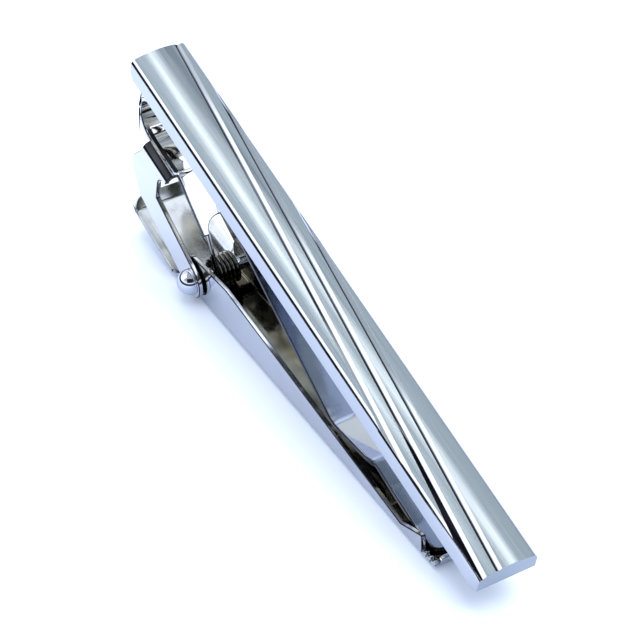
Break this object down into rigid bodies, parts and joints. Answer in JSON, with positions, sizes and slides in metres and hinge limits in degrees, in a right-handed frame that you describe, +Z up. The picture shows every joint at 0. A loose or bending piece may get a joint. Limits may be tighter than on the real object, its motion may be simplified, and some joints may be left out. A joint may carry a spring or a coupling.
{
  "type": "tie clip",
  "caption": "Crowned bar with slanting polished grooves over a sprung, hinged alligator grip that holds a tie to a shirt.",
  "frame": {"origin": "middle of the part's length and width, on the surface that the lower jaw's flat underside rests on", "axes": "+X from the thumb tail to the tip of the grip, +Y across the bar, +Z up towards the bar's face"},
  "size_m": [0.06, 0.0092, 0.0207],
  "materials": {
    "satin_chrome": "satin brushed crown between polished bevels and polished slanting grooves",
    "polished_chrome": "bright polished plating over stamped sheet",
    "jaw_chrome": "bright plating over stamped sheet, with sheared edges",
    "pin_chrome": "bright plating over domed heads",
    "spring_steel": "drawn wire, bright with fine lengthwise lines",
    "solder": "dull smooth tin"
  },
  "bodies": {
    "lower_jaw": {"lower_jaw": "jaw_chrome"},
    "bar_and_upper_jaw": {"face_bar": "satin_chrome", "upper_jaw": "polished_chrome", "hinge_pin": "pin_chrome", "torsion_spring": "spring_steel", "solder_seam": "solder"}
  },
  "joints": [
    {"name": "grip_hinge", "type": "hinge", "parent": "lower_jaw", "child": "bar_and_upper_jaw", "pos_m": [-0.01797, 0, 0.0022], "axis": [0, -1, 0], "range_deg": [0, 16], "stiffness_Nm_per_rad": 0.01, "springref_deg": -57.3, "deforming": ["torsion_spring"]}
  ]
}
